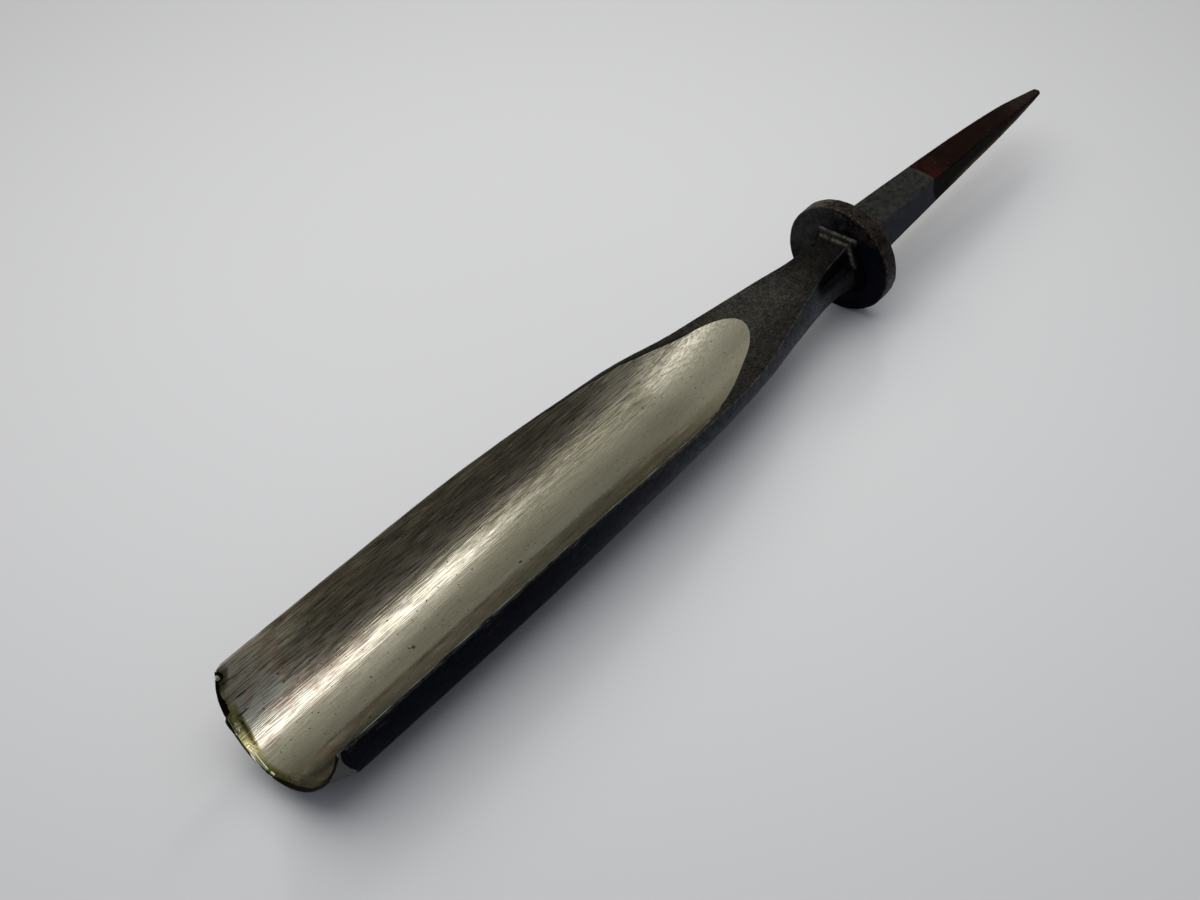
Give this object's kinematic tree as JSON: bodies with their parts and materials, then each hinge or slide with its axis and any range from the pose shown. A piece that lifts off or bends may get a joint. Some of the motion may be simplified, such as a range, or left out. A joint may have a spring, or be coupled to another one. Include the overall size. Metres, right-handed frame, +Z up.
{
  "type": "straight gouge",
  "caption": "Unhandled straight gouge iron: half-round ground trough with an outside bevel, tapered shank, round bolster collar, square tapered tang and a strippable film on its edge.",
  "frame": {"origin": "middle of the box's lowest plane, with the tool lying on its back: the blade's back and the collar's rim touch z = 0", "axes": "+X from the cutting edge to the tang's tip, along the tool but for a rest tilt of about 0.9 degrees; +Z up out of the trough; +Y to the left seen from the tang"},
  "size_m": [0.2172, 0.027, 0.022],
  "materials": {
    "forged_steel": "matte black forging skin outside, bright ground trough and bevel, maroon heat scale on the tang",
    "collar_steel": "dark brown-black scale with a little rust on the rim",
    "edge_film": "clear amber dip film, glossy and wrinkled"
  },
  "bodies": {
    "iron": {"gouge_iron": "forged_steel", "bolster_collar": "collar_steel"},
    "film": {"edge_film": "edge_film"}
  },
  "joints": [
    {"name": "film_strip", "type": "slide", "parent": "iron", "child": "film", "axis": [-0.9999, 0, -0.0157], "range_m": [0, 0.012]}
  ]
}
